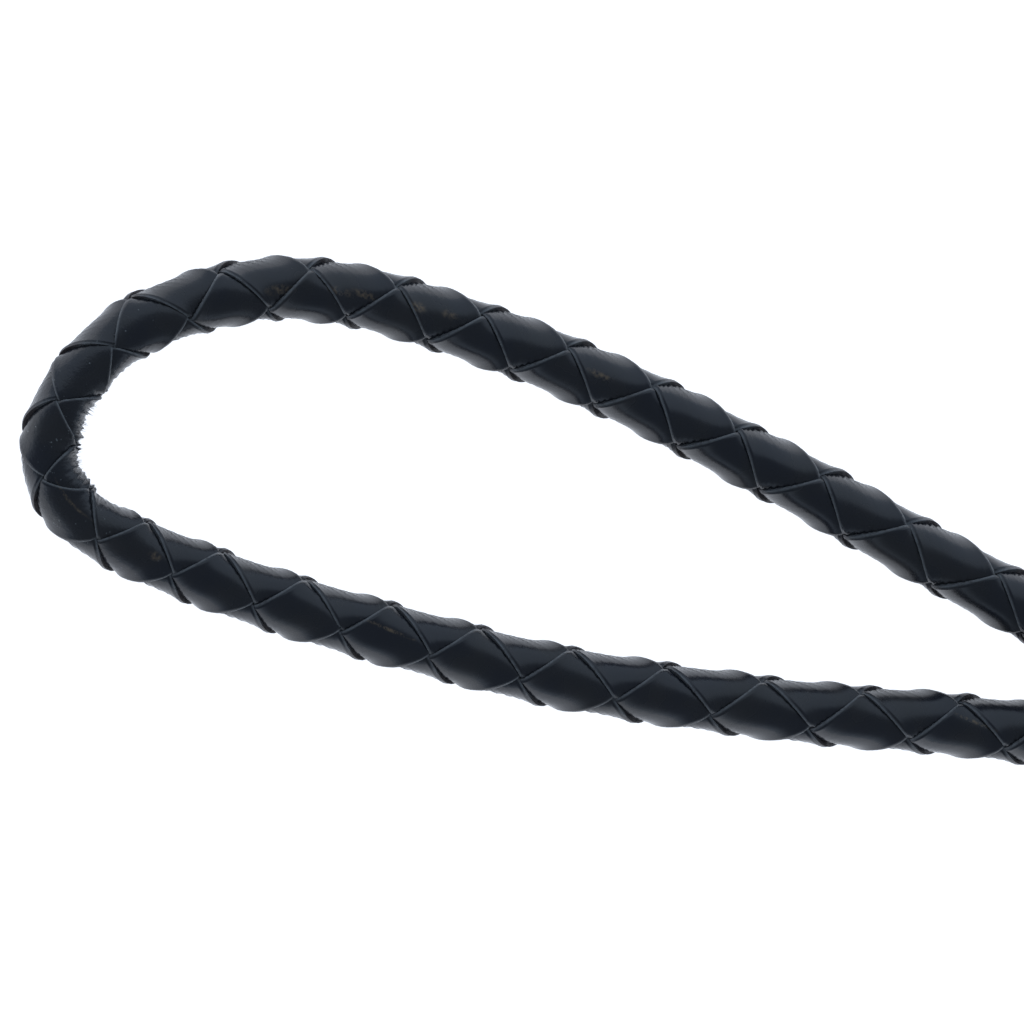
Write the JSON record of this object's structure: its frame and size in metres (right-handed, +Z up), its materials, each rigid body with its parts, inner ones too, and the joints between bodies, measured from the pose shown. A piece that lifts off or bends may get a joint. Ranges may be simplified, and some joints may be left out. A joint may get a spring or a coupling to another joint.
{
  "type": "bolo tie",
  "caption": "Braided leather neck cord folded in a loop, drawn together by a plain oval metal slide and finished with metal tips.",
  "frame": {"origin": "centre of the slide's flat back, on the table", "axes": "+Z up from the table through the slide, +X along the tie from the slide towards the tips, +Y across it"},
  "size_m": [0.4689, 0.037, 0.0097],
  "materials": {
    "braided_leather": "glossy dark navy-black leather laces, with brown worn crowns and pale cut edges",
    "slide_metal": "softly polished silver-coloured metal with fine hand-finishing scratches",
    "tip_metal": "softly polished silver-coloured metal with fine turning lines"
  },
  "bodies": {
    "root": {"cord": "braided_leather", "slide": "slide_metal", "tip_left": "tip_metal", "tip_right": "tip_metal"}
  },
  "joints": []
}
